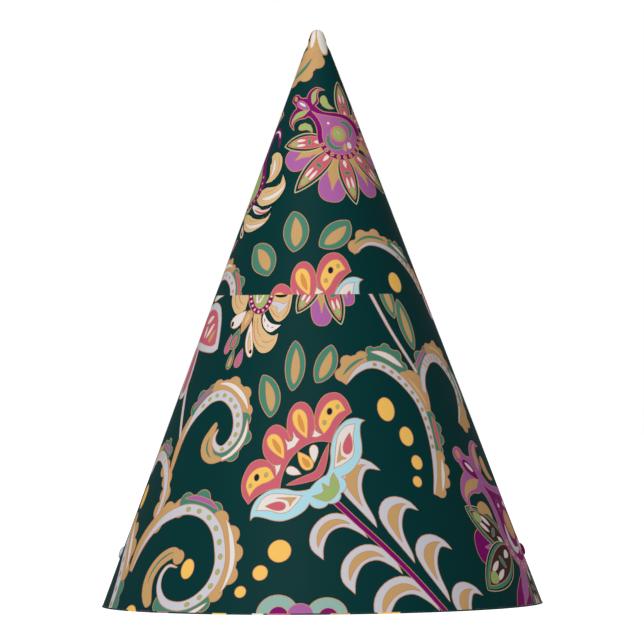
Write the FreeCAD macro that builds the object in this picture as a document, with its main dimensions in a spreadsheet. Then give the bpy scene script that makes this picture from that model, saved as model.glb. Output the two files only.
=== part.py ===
"""Conical party hat rolled from printed card.

The hat is a right circular cone standing on its rim. Its card comes as two printed panels, a tall
frustum below and a pointed cone above, each rolled round and closed by a lap seam at the back.
The panels meet edge to edge and an inner band holds them together. A narrow printed edging turns
round the rim, and a slotted button on each side marks where a chin elastic is threaded.

Frame: +Z runs up the cone's axis and the origin is the centre of the rim's lowest plane. The front
of the hat faces -Y, the lap seams are at +Y, and the elastic slots are at -X and +X.
Lengths are millimetres and angles are degrees.
"""
import FreeCAD
import Part

import os

import Sketcher

OUTPUT_FOLDER = "parts"

# Driving dimensions: alias, value and what it measures.
SIZES = [
    ("rim_radius", 76.0, "outer radius of the card's cone at height 0"),
    ("apex_height", 203.0, "height where the cone's sides would meet"),
    ("tip_radius", 2.43, "outer radius of the rounded point"),
    ("card", 0.4, "thickness of the printed card"),
    ("joint_height", 106.9, "height where the two panels meet edge to edge"),
    ("band_below", 6.0, "how far the joining band reaches below the joint"),
    ("band_above", 6.0, "how far the joining band reaches above the joint"),
    ("band_card", 0.3, "thickness of the joining band"),
    ("tape", 0.1, "thickness of the double-sided tape"),
    ("edging", 0.15, "thickness of the rim edging"),
    ("edging_outside", 0.5, "height of the edging's outer leg"),
    ("edging_inside", 8.0, "height of the edging's inner leg"),
    ("lap_start", 85.5, "angle where the lap leaves the panel"),
    ("lap_span", 9.0, "angle that the lap covers"),
    ("lap_root", 1.5, "angle over which the lap is joined to the panel"),
    ("lap_gap", 0.1, "clearance from the edging to the lap"),
    ("lap_top", 194.0, "height where the upper lap ends below the point"),
    ("slot_height", 18.5, "height of the elastic slots above the rim"),
    ("slot_width", 3.0, "length of a slot round the hat"),
    ("slot_gap", 1.2, "opening of a slot"),
    ("button_rise", 1.0, "how far a button stands proud of the card"),
    ("button_half_width", 4.5, "half the button's width round the hat"),
    ("button_half_height", 2.2, "half the button's height along the slope"),
    ("backing_radius", 6.0, "radius of the round backing inside a slot"),
    ("backing_card", 0.3, "thickness of the backing"),
]

# Expressions that several pieces share.
SLOPE = "(Sizes.rim_radius / Sizes.apex_height)"
RADIAL = f"sqrt(1 + {SLOPE} ^ 2)"
NORMAL_TILT = f"atan(1 / {SLOPE})"
TIP_CENTRE = "(Sizes.apex_height - Sizes.tip_radius * sqrt(1 + 1 / {0} ^ 2))".format(SLOPE)
CARD_INSIDE = "-Sizes.card"


def on_cone(height, offset="0"):
    """Expressions for a profile point at a height, offset square to the card's outer face."""
    return f"{SLOPE} * (Sizes.apex_height - ({height})) + ({offset}) * {RADIAL}", height


def add_sheet(doc):
    sheet = doc.addObject("Spreadsheet::Sheet", "Sizes")
    for row, (alias, value, meaning) in enumerate(SIZES, start=1):
        sheet.set(f"A{row}", str(value))
        sheet.setAlias(f"A{row}", alias)
        sheet.set(f"B{row}", meaning)
    doc.recompute()
    return sheet


def vector(sheet, point):
    """The sketch position that a pair of expressions gives now."""
    values = [FreeCAD.Units.Quantity(sheet.evalExpression(entry)).Value for entry in point]
    return FreeCAD.Vector(values[0], values[1], 0)


def add_body(doc, name):
    """A PartDesign body with an empty sketch on its own XZ plane."""
    body = doc.addObject("PartDesign::Body", name)
    sketch = body.newObject("Sketcher::SketchObject", name + "_profile")
    plane = next(item for item in body.Origin.OriginFeatures if item.Role == "XZ_Plane")
    sketch.AttachmentSupport = [(plane, "")]
    sketch.MapMode = "FlatFace"
    return body, sketch


def bind(sketch, kind, references, name, expression, value):
    """Add one dimension to a sketch and tie it to the sheet."""
    index = sketch.addConstraint(Sketcher.Constraint(kind, *references, value))
    sketch.renameConstraint(index, name)
    sketch.setExpression(f"Constraints.{name}", expression)


def pin(sheet, sketch, line, end, name, point):
    """Hold one end of a line at a distance out from the axis and at a height."""
    here = vector(sheet, point)
    bind(sketch, "DistanceX", (-1, 1, line, end), name + "_out", point[0], here.x)
    bind(sketch, "DistanceY", (-1, 1, line, end), name + "_up", point[1], here.y)


def revolve(body, sketch, span=None, start=None):
    """Turn a profile about the hat's axis, all round or over a span from a start angle."""
    turn = body.newObject("PartDesign::Revolution", body.Name + "_turn")
    turn.Profile = sketch
    turn.ReferenceAxis = (sketch, ["V_Axis"])
    if span is None:
        turn.Angle = 360
    else:
        turn.setExpression("Angle", span)
        body.Placement.Rotation = FreeCAD.Rotation(FreeCAD.Vector(0, 0, 1), 0)
        body.setExpression("Placement.Rotation.Angle", start)
    return body


def turned_ring(doc, sheet, name, corners, span=None, start=None):
    """A ring whose profile is a polygon with its corners given as pairs of expressions."""
    body, sketch = add_body(doc, name)
    points = [vector(sheet, corner) for corner in corners]
    count = len(points)
    for index in range(count):
        sketch.addGeometry(Part.LineSegment(points[index], points[(index + 1) % count]))
    for index in range(count):
        after = (index + 1) % count
        sketch.addConstraint(Sketcher.Constraint("Coincident", index, 2, after, 1))
        pin(sheet, sketch, index, 1, f"corner{index}", corners[index])
    return revolve(body, sketch, span, start)


def shell(doc, sheet, name, bottom, top, inside, outside, span=None, start=None):
    """A conical wall between two heights and two offsets from the card's outer face."""
    corners = [
        on_cone(bottom, outside),
        on_cone(top, outside),
        on_cone(top, inside),
        on_cone(bottom, inside),
    ]
    return turned_ring(doc, sheet, name, corners, span, start)


def pointed_shell(doc, sheet, name, bottom):
    """A conical wall of card that rises to a rounded, closed point of even thickness."""
    body, sketch = add_body(doc, name)
    slope = sheet.evalExpression("rim_radius / apex_height")
    centre = vector(sheet, ("0", TIP_CENTRE))
    radius = sheet.evalExpression("tip_radius")
    inner_radius = radius - sheet.evalExpression("card")
    foot = vector(sheet, on_cone(bottom))
    inner_foot = vector(sheet, on_cone(bottom, CARD_INSIDE))
    normal = FreeCAD.Vector(1, slope, 0).normalize()
    touch = centre + normal * radius
    inner_touch = centre + normal * inner_radius
    crown = centre + FreeCAD.Vector(0, radius, 0)
    inner_crown = centre + FreeCAD.Vector(0, inner_radius, 0)
    plane_normal = FreeCAD.Vector(0, 0, 1)
    start_angle = normal.getAngle(FreeCAD.Vector(1, 0, 0))
    end_angle = FreeCAD.Vector(0, 1, 0).getAngle(FreeCAD.Vector(1, 0, 0))

    def arc(size):
        circle = Part.Circle(centre, plane_normal, size)
        return sketch.addGeometry(Part.ArcOfCircle(circle, start_angle, end_angle))

    outer = sketch.addGeometry(Part.LineSegment(foot, touch))
    outer_arc = arc(radius)
    axis = sketch.addGeometry(Part.LineSegment(crown, inner_crown))
    inner_arc = arc(inner_radius)
    inner = sketch.addGeometry(Part.LineSegment(inner_touch, inner_foot))
    base = sketch.addGeometry(Part.LineSegment(inner_foot, foot))
    joins = [
        ("Tangent", outer, 2, outer_arc, 1),
        ("Coincident", outer_arc, 2, axis, 1),
        ("Coincident", axis, 2, inner_arc, 2),
        ("Tangent", inner_arc, 1, inner, 1),
        ("Coincident", inner, 2, base, 1),
        ("Coincident", base, 2, outer, 1),
        ("Coincident", outer_arc, 3, inner_arc, 3),
        ("PointOnObject", axis, 1, -2),
        ("PointOnObject", axis, 2, -2),
        ("PointOnObject", outer_arc, 3, -2),
        ("Horizontal", base),
    ]
    for join in joins:
        sketch.addConstraint(Sketcher.Constraint(*join))
    pin(sheet, sketch, outer, 1, "foot", on_cone(bottom))
    inner_out = on_cone(bottom, CARD_INSIDE)[0]
    bind(sketch, "DistanceX", (-1, 1, inner, 2), "inner_foot_out", inner_out, inner_foot.x)
    bind(sketch, "DistanceY", (-1, 1, outer_arc, 3), "centre_up", TIP_CENTRE, centre.y)
    bind(sketch, "Radius", (outer_arc,), "tip_outside", "Sizes.tip_radius", radius)
    inner_size = "Sizes.tip_radius - Sizes.card"
    bind(sketch, "Radius", (inner_arc,), "tip_inside", inner_size, inner_radius)
    return revolve(body, sketch)


def fuse(doc, label, pieces):
    result = doc.addObject("Part::MultiFuse", label)
    result.Shapes = pieces
    return result


def cut(doc, label, base, tool):
    result = doc.addObject("Part::Cut", label)
    result.Base = base
    result.Tool = tool
    return result


def add_lap(doc, sheet, name, bottom, top):
    """The strip of card that laps over a panel at the back, and its joined root."""
    outside = "Sizes.tape + Sizes.card"
    root = shell(doc, sheet, name + "_root", bottom, top, "-Sizes.card / 2", outside,
                 "Sizes.lap_root", "Sizes.lap_start")
    strip = shell(doc, sheet, name + "_strip", bottom, top, "Sizes.tape", outside,
                  "Sizes.lap_span", "Sizes.lap_start")
    return [root, strip]


def add_seam_tape(doc, sheet, name, bottom, top):
    """The tape that fills the space under a lap."""
    return shell(doc, sheet, name, bottom, top, "0", "Sizes.tape",
                 "Sizes.lap_span - Sizes.lap_root", "Sizes.lap_start + Sizes.lap_root")


def add_slot_tool(doc):
    """A bar along X that cuts the elastic slots through both sides at once."""
    bar = doc.addObject("Part::Box", "slot_bar")
    bar.setExpression("Length", "2 * Sizes.rim_radius")
    bar.setExpression("Width", "Sizes.slot_width")
    bar.setExpression("Height", "Sizes.slot_gap")
    bar.setExpression("Placement.Base.x", "-Sizes.rim_radius")
    bar.setExpression("Placement.Base.y", "-Sizes.slot_width / 2")
    bar.setExpression("Placement.Base.z", "Sizes.slot_height - Sizes.slot_gap / 2")
    return bar


def add_solid_cone(doc, name, offset):
    """The filled cone inside an offset of the card's outer face, up to the joint."""
    cone = doc.addObject("Part::Cone", name)
    cone.setExpression("Radius1", on_cone("0", offset)[0])
    cone.setExpression("Radius2", on_cone("Sizes.joint_height", offset)[0])
    cone.setExpression("Height", "Sizes.joint_height")
    return cone


def add_button(doc, name, side, hat, slot_bar):
    """A low oval dome on the card, with the elastic slot through it."""
    dome = doc.addObject("Part::Ellipsoid", name + "_dome")
    dome.setExpression("Radius1", "Sizes.button_rise")
    dome.setExpression("Radius2", "Sizes.button_half_height")
    dome.setExpression("Radius3", "Sizes.button_half_width")
    dome.Placement.Rotation = FreeCAD.Rotation(FreeCAD.Vector(0, side, 0), 0)
    dome.setExpression("Placement.Rotation.Angle", NORMAL_TILT)
    dome.setExpression("Placement.Base.x", f"{side} * {on_cone('Sizes.slot_height')[0]}")
    dome.setExpression("Placement.Base.z", "Sizes.slot_height")
    seated = cut(doc, name + "_seated", dome, hat)
    return cut(doc, name, seated, slot_bar)


def add_backing(doc, sheet, name, side, slot_bar):
    """A thin round of card inside the hat, behind the slot."""
    disc = doc.addObject("Part::Cylinder", name + "_disc")
    disc.setExpression("Radius", "Sizes.backing_radius")
    disc.setExpression("Height", "Sizes.rim_radius")
    disc.Placement.Rotation = FreeCAD.Rotation(FreeCAD.Vector(0, side, 0), 90)
    disc.setExpression("Placement.Base.z", "Sizes.slot_height")
    reach = "2 * Sizes.backing_radius"
    lining = shell(doc, sheet, name + "_lining", f"Sizes.slot_height - {reach}",
                   f"Sizes.slot_height + {reach}",
                   "-Sizes.card - Sizes.backing_card", CARD_INSIDE)
    round_piece = doc.addObject("Part::Common", name + "_round")
    round_piece.Base = lining
    round_piece.Tool = disc
    return cut(doc, name, round_piece, slot_bar)


def add_edging(doc, sheet):
    """The printed edging: a short leg outside, a turn under the card and a long leg inside."""
    under = "Sizes.edging"
    outer_top = "Sizes.edging_outside"
    inner_top = "Sizes.edging_inside"
    far_inside = "-Sizes.card - Sizes.edging"
    corners = [
        on_cone("0", "Sizes.edging"),
        on_cone(outer_top, "Sizes.edging"),
        on_cone(outer_top),
        on_cone(under),
        on_cone(under, CARD_INSIDE),
        on_cone(inner_top, CARD_INSIDE),
        on_cone(inner_top, far_inside),
        on_cone("0", far_inside),
    ]
    return turned_ring(doc, sheet, "rim_edging", corners)


def build_model(doc):
    """Every piece of the hat, by its node name."""
    sheet = add_sheet(doc)
    joint = "Sizes.joint_height"
    lap_bottom = "Sizes.edging_outside + Sizes.lap_gap"
    band_bottom = "Sizes.joint_height - Sizes.band_below"
    band_top = "Sizes.joint_height + Sizes.band_above"
    band_outside = "-Sizes.card - Sizes.tape"
    band_inside = "-Sizes.card - Sizes.tape - Sizes.band_card"
    slot_bar = add_slot_tool(doc)
    hat = add_solid_cone(doc, "filled_hat", "0")

    lower_wall = shell(doc, sheet, "lower_wall", "Sizes.edging", joint, CARD_INSIDE, "0")
    lower_lap = add_lap(doc, sheet, "lower_lap", lap_bottom, joint)
    lower_uncut = fuse(doc, "lower_uncut", [lower_wall] + lower_lap)
    upper_wall = pointed_shell(doc, sheet, "upper_wall", joint)
    upper_lap = add_lap(doc, sheet, "upper_lap", joint, "Sizes.lap_top")

    nodes = {
        "lower_panel": cut(doc, "lower_panel", lower_uncut, slot_bar),
        "upper_panel": fuse(doc, "upper_panel", [upper_wall] + upper_lap),
        "lower_seam_tape": add_seam_tape(doc, sheet, "lower_seam_tape", lap_bottom, joint),
        "upper_seam_tape": add_seam_tape(doc, sheet, "upper_seam_tape", joint, "Sizes.lap_top"),
        "joining_band": shell(doc, sheet, "joining_band", band_bottom, band_top,
                              band_inside, band_outside),
        "band_tape_lower": shell(doc, sheet, "band_tape_lower", band_bottom, joint,
                                 band_outside, CARD_INSIDE),
        "band_tape_upper": shell(doc, sheet, "band_tape_upper", joint, band_top,
                                 band_outside, CARD_INSIDE),
        "rim_edging": add_edging(doc, sheet),
    }
    for place, side in (("left", -1), ("right", 1)):
        button = f"{place}_slot_button"
        backing = f"{place}_slot_backing"
        nodes[button] = add_button(doc, button, side, hat, slot_bar)
        nodes[backing] = add_backing(doc, sheet, backing, side, slot_bar)
    doc.recompute()
    return nodes


def check(doc, nodes):
    """Stop if any feature failed or any piece isn't one valid solid."""
    for item in doc.Objects:
        failed = {"Invalid", "Error"} & set(item.State)
        if failed:
            raise RuntimeError(f"{item.Name} failed: {sorted(failed)}")
    for name, item in nodes.items():
        shape = item.Shape
        if shape.isNull() or not shape.isValid() or len(shape.Solids) != 1:
            raise RuntimeError(f"{name} isn't one valid solid")
        box = shape.BoundBox
        print(f"{name}: {shape.Volume:.1f} mm3, z {box.ZMin:.2f} to {box.ZMax:.2f}")


def main():
    doc = FreeCAD.newDocument("conical_hat")
    nodes = build_model(doc)
    check(doc, nodes)
    os.makedirs(OUTPUT_FOLDER, exist_ok=True)
    for name, item in nodes.items():
        item.Label = name
        item.Shape.exportStep(f"{OUTPUT_FOLDER}/{name}.step")


main()
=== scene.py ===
"""Looks of a conical party hat of printed card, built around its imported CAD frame.

The print is drawn flat, as on the sheet that a printer cuts: each motif is outlines on the
cone's unrolled surface, painted one over another. One planar subdivision of all their edges gives
every ink its own crisp faces, and the sheet is then rolled round the cone with the card's thickness.

The motifs aren't generic. The outlines in fan_flower, feather_flower, bud_flower and round_pod, and the
places of most other motifs, were read off a photo of the hat and converted by scratch scripts.

Places on the hat are (azimuth, height): degrees from the front, positive to the viewer's right, and
millimetres above the rim. Sizes are millimetres until the mesh is made, which is in metres.
"""
import math

import bpy
import numpy as np
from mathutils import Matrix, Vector
from mathutils.geometry import delaunay_2d_cdt


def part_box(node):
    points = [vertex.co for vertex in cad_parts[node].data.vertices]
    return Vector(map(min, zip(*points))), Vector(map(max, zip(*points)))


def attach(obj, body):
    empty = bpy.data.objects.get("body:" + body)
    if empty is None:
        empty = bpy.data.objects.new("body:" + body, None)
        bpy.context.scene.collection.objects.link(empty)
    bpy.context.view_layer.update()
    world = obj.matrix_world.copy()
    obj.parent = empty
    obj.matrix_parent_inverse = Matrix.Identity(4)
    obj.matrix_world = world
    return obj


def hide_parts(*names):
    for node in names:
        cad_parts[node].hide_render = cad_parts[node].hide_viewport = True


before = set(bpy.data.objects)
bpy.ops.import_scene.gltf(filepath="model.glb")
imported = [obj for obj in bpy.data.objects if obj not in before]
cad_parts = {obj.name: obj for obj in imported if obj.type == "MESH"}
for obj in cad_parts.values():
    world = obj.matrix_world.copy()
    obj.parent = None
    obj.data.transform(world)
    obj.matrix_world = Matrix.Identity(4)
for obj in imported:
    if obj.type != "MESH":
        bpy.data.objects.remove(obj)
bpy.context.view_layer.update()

# ---------------------------------------------------------------- the hat's geometry

MM = 0.001
lower_low, lower_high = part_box("lower_panel")
upper_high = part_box("upper_panel")[1]
FOOT = lower_low.z / MM
JOINT = lower_high.z / MM
TOP = upper_high.z / MM
SLOPE = (lower_high.x - upper_high.x) / (lower_high.z - lower_low.z)
APEX = JOINT + upper_high.x / MM / SLOPE
HALF_ANGLE = math.atan(SLOPE)
SIN, COS = math.sin(HALF_ANGLE), math.cos(HALF_ANGLE)

TIP_RADIUS = (APEX - TOP) / (1 / SIN - 1)
TIP_CENTRE = APEX - TIP_RADIUS / SIN
CAP_SLANT = TIP_RADIUS * COS / SIN
CAP_POWER = CAP_SLANT / (TIP_RADIUS * (math.pi / 2 - HALF_ANGLE))

CARD = 0.4
TAPE = 0.1
LAP_RISE = CARD + TAPE
LAP_REACH = 184.5
LAP_LIFTS_FROM = 148.0
LAP_LIFTED_BY = 177.0
LAP_FADES = (186.0, 194.0)

SLOT_AZIMUTH = 90.0
SLOT_HEIGHT = 18.5
SLOT_WIDTH = 3.0
SLOT_GAP = 1.2


def flat(azimuth, height):
    """Where a place on the hat lies on the unrolled sheet, whose origin is the apex."""
    slant = (APEX - height) / COS
    angle = np.radians(azimuth) * SIN
    return np.stack([slant * np.sin(angle), -slant * np.cos(angle)], axis=-1)


def unroll(points):
    """The azimuth and height of points on the flat sheet."""
    slant = np.hypot(points[:, 0], points[:, 1])
    azimuth = np.degrees(np.arctan2(points[:, 0], -points[:, 1])) / SIN
    return azimuth, APEX - slant * COS


def wrap(points, lift):
    """Roll flat points round the cone, lifted square to the card's outer face."""
    slant = np.hypot(points[:, 0], points[:, 1])
    azimuth = np.arctan2(points[:, 0], -points[:, 1]) / SIN
    in_cap = np.clip(1 - slant / CAP_SLANT, 0, 1)
    rise = HALF_ANGLE + (math.pi / 2 - HALF_ANGLE) * (1 - (1 - in_cap) ** CAP_POWER)
    out, up = np.cos(rise), np.sin(rise)
    on_cap = slant < CAP_SLANT
    radius = np.where(on_cap, (TIP_RADIUS + lift) * out, slant * SIN + lift * out)
    height = np.where(on_cap, TIP_CENTRE + (TIP_RADIUS + lift) * up, APEX - slant * COS + lift * up)
    return np.stack([radius * np.sin(azimuth), -radius * np.cos(azimuth), height], axis=1)


def ease(value, start, end):
    """0 before start and 1 after end, with a smooth step between."""
    share = np.clip((value - start) / (end - start), 0, 1)
    return share * share * (3 - 2 * share)


# ---------------------------------------------------------------- outlines on the flat sheet

STEP = 0.75


class Spot:
    """Local axes at a place: y runs up the hat and x to the right, turned anticlockwise.

    A bend moves points to the right by the square of their height, as on a bowed flower.
    """

    def __init__(self, azimuth, height, turn=0.0, size=1.0, bend=0.0):
        self.centre = flat(azimuth, height)
        self.size = size
        self.bend = bend
        up = -self.centre / np.linalg.norm(self.centre)
        right = np.array([up[1], -up[0]])
        cosine, sine = math.cos(math.radians(turn)), math.sin(math.radians(turn))
        self.up = (up * cosine - right * sine) * size
        self.right = (right * cosine + up * sine) * size

    def __call__(self, *points):
        across, up = np.array(points, float).T
        across = across + self.bend * up ** 2
        return self.centre + across[:, None] * self.right + up[:, None] * self.up


def through(points, per_span=12):
    """A smooth line through points, by Catmull-Rom spans."""
    points = np.asarray(points, float)
    if len(points) == 2:
        return points[0] + np.linspace(0, 1, per_span + 1)[:, None] * (points[1] - points[0])
    padded = np.vstack([2 * points[0] - points[1], points, 2 * points[-1] - points[-2]])
    share = np.linspace(0, 1, per_span, endpoint=False)[:, None]
    spans = []
    for before, start, end, after in zip(padded, padded[1:], padded[2:], padded[3:]):
        slope_in, slope_out = (end - before) / 2, (after - start) / 2
        spans.append(
            start + share * slope_in
            + share ** 2 * (3 * (end - start) - 2 * slope_in - slope_out)
            + share ** 3 * (2 * (start - end) + slope_in + slope_out)
        )
    return np.vstack(spans + [points[-1:]])


class Line:
    """A smooth line that is measured from 0 at its start to 1 at its end."""

    def __init__(self, points):
        self.dense = through(points)
        gaps = np.linalg.norm(np.diff(self.dense, axis=0), axis=1)
        self.length = gaps.sum()
        self.along = np.concatenate([[0], np.cumsum(gaps)]) / self.length

    def at(self, share, shift=0.0):
        """Points at shares of the length, moved to the line's left by a shift."""
        share = np.atleast_1d(np.asarray(share, float))
        ahead = self._read(np.minimum(share + 0.01, 1))
        behind = self._read(np.maximum(share - 0.01, 0))
        way = ahead - behind
        way /= np.linalg.norm(way, axis=1, keepdims=True)
        left = np.stack([-way[:, 1], way[:, 0]], axis=1)
        return self._read(share) + left * np.reshape(shift * np.ones(len(share)), (-1, 1))

    def _read(self, share):
        return np.stack([np.interp(share, self.along, self.dense[:, k]) for k in (0, 1)], axis=1)


def route(*places):
    """A line through places on the hat."""
    azimuths, heights = np.array(places, float).T
    return Line(flat(azimuths, heights))


def ribbon(line, thickness, start=0.0, end=1.0, shift=0.0, taper=(0.5, 0.5)):
    """An outline along part of a line, thinning to nothing at each end by that end's power.

    A thickness given as a list of widths is spread evenly from the start to the end.
    """
    count = max(8, int(line.length * abs(end - start) / STEP))
    share = (1 - np.cos(np.linspace(0, math.pi, count))) / 2
    widths = np.atleast_1d(thickness).astype(float)
    width = np.interp(share, np.linspace(0, 1, len(widths)), widths)
    swell = share ** taper[0] * (1 - share) ** taper[1]
    half = width * swell / max(swell.max(), 1e-9) / 2
    along = start + share * (end - start)
    left = line.at(along, shift + half)
    right = line.at(along, shift - half)
    return np.vstack([left, right[::-1]])


def oval(spot, centre, half_width, half_height=None, turn=0.0):
    half_height = half_height or half_width
    count = max(12, int(7 * max(half_width, half_height)) + 8)
    angle = np.linspace(0, 2 * math.pi, min(count, 40), endpoint=False)
    across, up = half_width * np.cos(angle), half_height * np.sin(angle)
    cosine, sine = math.cos(math.radians(turn)), math.sin(math.radians(turn))
    points = np.stack([
        centre[0] + across * cosine - up * sine,
        centre[1] + across * sine + up * cosine,
    ], axis=1)
    return spot(*points)


def strokes(spot, *parts):
    """A closed outline of smooth strokes in local axes that meet at corners."""
    return np.vstack([through(spot(*part), 6)[:-1] for part in parts])


def polar(*pairs, side=1):
    """Local points from (degrees clockwise of up, distance) pairs, mirrored if the side is -1."""
    return [(side * far * math.sin(math.radians(angle)), far * math.cos(math.radians(angle)))
            for angle, far in pairs]


def facing_out(outline):
    """The outline without repeated points, running anticlockwise."""
    keep = np.linalg.norm(np.roll(outline, -1, 0) - outline, axis=1) > 0.03
    outline = outline[keep]
    following = np.roll(outline, -1, 0)
    twice_area = (outline[:, 0] * following[:, 1] - following[:, 0] * outline[:, 1]).sum()
    return outline if twice_area > 0 else outline[::-1]


def grow(outline, distance):
    """The outline moved outwards all round; a negative distance moves it inwards."""
    outline = facing_out(outline)
    ahead = np.roll(outline, -1, 0) - outline
    ahead /= np.linalg.norm(ahead, axis=1, keepdims=True)
    out = np.stack([ahead[:, 1], -ahead[:, 0]], axis=1)
    both = out + np.roll(out, 1, 0)
    reach = np.clip((both * out).sum(1, keepdims=True), 0.5, None)
    return outline + distance * both / reach


def inside(points, outline):
    """Which points an anticlockwise outline winds round."""
    start_x, start_y = outline.T
    end_x, end_y = np.roll(outline, -1, 0).T
    x, y = points[:, :1], points[:, 1:]
    side = (end_x - start_x) * (y - start_y) - (x - start_x) * (end_y - start_y)
    rising = (start_y <= y) & (end_y > y) & (side > 0)
    falling = (start_y > y) & (end_y <= y) & (side < 0)
    return rising.sum(1) - falling.sum(1) > 0


KEYLINE = 0.28


class Print:
    """Outlines and their inks in painting order: a later one covers an earlier one."""

    def __init__(self):
        self.shapes = []

    def fill(self, outline, ink):
        outline = facing_out(outline)
        if len(outline) > 2:
            self.shapes.append((outline, ink))

    def paint(self, outlines, ink, edge="salmon", keyline=KEYLINE):
        """Fill outlines as one patch with a thin edge round the whole patch."""
        if isinstance(outlines, np.ndarray):
            outlines = [outlines]
        for outline in outlines:
            self.fill(grow(outline, keyline / 2), edge)
        for outline in outlines:
            self.fill(grow(outline, -keyline / 2), ink)


# ---------------------------------------------------------------- inks and other materials

INKS = {
    "ground": (4, 54, 54),
    "gold": (205, 163, 107),
    "salmon": (206, 142, 108),
    "lavender": (208, 207, 215),
    "green": (74, 135, 112),
    "leaf_light": (160, 185, 110),
    "purple": (130, 12, 106),
    "mauve": (176, 100, 166),
    "rose": (207, 98, 115),
    "yellow": (252, 198, 98),
    "orange": (222, 150, 70),
    "sky": (174, 222, 233),
    "mint": (150, 185, 174),
    "cream": (222, 188, 136),
    "white": (234, 226, 220),
    "dark": (8, 40, 44),
    "olive": (160, 160, 92),
    "brown": (72, 44, 48),
}


def to_linear(colour):
    return tuple(
        (part / 255 / 12.92 if part <= 10 else ((part / 255 + 0.055) / 1.055) ** 2.4)
        for part in colour
    )


RELIEF_DETAIL, RELIEF_DEPTH = 4.0, 0.00004
GLOSS_SCALE, GLOSS_DETAIL = 90.0, 3.0
INK_SCALE, INK_RELIEF, INK_ROUGHNESS, INK_SPECULAR = 1400.0, 0.35, (0.5, 0.62), 0.05


def add_surface_detail(material, shader, scale, strength, roughness):
    """Fine relief and uneven gloss from noise, at a scale in cells per metre."""
    nodes, links = material.node_tree.nodes, material.node_tree.links
    place = nodes.new("ShaderNodeTexCoord")
    fibre = nodes.new("ShaderNodeTexNoise")
    fibre.inputs["Scale"].default_value = scale
    fibre.inputs["Detail"].default_value = RELIEF_DETAIL
    links.new(place.outputs["Object"], fibre.inputs["Vector"])
    bump = nodes.new("ShaderNodeBump")
    bump.inputs["Strength"].default_value = strength
    bump.inputs["Distance"].default_value = RELIEF_DEPTH
    links.new(fibre.outputs["Fac"], bump.inputs["Height"])
    links.new(bump.outputs["Normal"], shader.inputs["Normal"])
    cloud = nodes.new("ShaderNodeTexNoise")
    cloud.inputs["Scale"].default_value = GLOSS_SCALE
    cloud.inputs["Detail"].default_value = GLOSS_DETAIL
    links.new(place.outputs["Object"], cloud.inputs["Vector"])
    spread = nodes.new("ShaderNodeMapRange")
    spread.inputs["To Min"].default_value = roughness[0]
    spread.inputs["To Max"].default_value = roughness[1]
    links.new(cloud.outputs["Fac"], spread.inputs["Value"])
    links.new(spread.outputs["Result"], shader.inputs["Roughness"])


def make_material(name, colour, scale, strength, roughness, specular=0.3):
    material = bpy.data.materials.new(name)
    material.use_nodes = True
    shader = material.node_tree.nodes["Principled BSDF"]
    shader.inputs["Base Color"].default_value = (*to_linear(colour), 1)
    shader.inputs["Specular IOR Level"].default_value = specular
    add_surface_detail(material, shader, scale, strength, roughness)
    return material


def make_ink(name):
    return make_material("ink_" + name, INKS[name], INK_SCALE, INK_RELIEF, INK_ROUGHNESS, INK_SPECULAR)


CARD_BACK = make_material("card_back", (226, 224, 217), 1100.0, 0.8, (0.8, 0.95), 0.15)
CARD_EDGE = make_material("card_edge", (216, 212, 202), 2600.0, 1.0, (0.85, 0.98), 0.1)
TAPE_FILM = make_material("tape_film", (214, 210, 192), 700.0, 0.4, (0.25, 0.4), 0.5)
PRINTED = {name: make_ink(name) for name in INKS}


# ---------------------------------------------------------------- from the flat sheet to a mesh

GRID_ROWS = 4.0
GRID_GAP = 2.7
GRID_MAX_DEGREES = 10.0
MERGE = 1e-5


def subdivide(points, loops):
    """A planar subdivision of loops and loose points: its points and its triangles."""
    corners, edges = [], []
    for loop in loops:
        first = len(corners)
        corners.extend(loop)
        count = len(loop)
        edges.extend((first + k, first + (k + 1) % count) for k in range(count))
    corners.extend(points)
    result = delaunay_2d_cdt([Vector(corner) for corner in corners], edges, [], 0, MERGE)
    return np.array([tuple(v) for v in result[0]]), np.array(result[2], int)


def grid_points(heights, reach):
    """Loose points that keep every triangle short enough to follow the cone."""
    rows = []
    for height in heights:
        radius = max((APEX - height) * SLOPE, 0.1)
        step = min(math.degrees(GRID_GAP / radius), GRID_MAX_DEGREES)
        count = max(3, int(2 * reach / step))
        azimuth = np.linspace(-reach, reach, count + 2)[1:-1]
        rows.append(flat(azimuth, np.full(len(azimuth), height)))
    return np.vstack(rows)


def paint_triangles(centres, shapes):
    """The index of the last shape over each centre, or -1 where the bare ground shows."""
    order = np.argsort(centres[:, 1])
    sorted_y = centres[order, 1]
    top = np.full(len(centres), -1)
    for number, (outline, _) in enumerate(shapes):
        low, high = outline.min(0), outline.max(0)
        rows = order[np.searchsorted(sorted_y, low[1]):np.searchsorted(sorted_y, high[1])]
        rows = rows[(centres[rows, 0] > low[0]) & (centres[rows, 0] < high[0])]
        if len(rows):
            top[rows[inside(centres[rows], outline)]] = number
    return top


def edge_table(triangles):
    """Every side of every triangle as (low corner, high corner), and the triangle it is on."""
    sides = np.vstack([triangles[:, [0, 1]], triangles[:, [1, 2]], triangles[:, [2, 0]]])
    return sides, np.tile(np.arange(len(triangles)), 3)


def visible_borders(points, triangles, colour):
    """The sides where the colour changes or the sheet ends, as pairs of points."""
    kept = triangles[colour >= 0]
    shade = colour[colour >= 0]
    sides, owner = edge_table(kept)
    ordered = np.sort(sides, axis=1)
    rank = np.lexsort((ordered[:, 1], ordered[:, 0]))
    ordered, owner = ordered[rank], owner[rank]
    same = (ordered[1:] == ordered[:-1]).all(1)
    differs = same & (shade[owner[1:]] != shade[owner[:-1]])
    alone = ~np.concatenate([[False], same]) & ~np.concatenate([same, [False]])
    return np.vstack([ordered[1:][differs], ordered[alone]])


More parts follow.
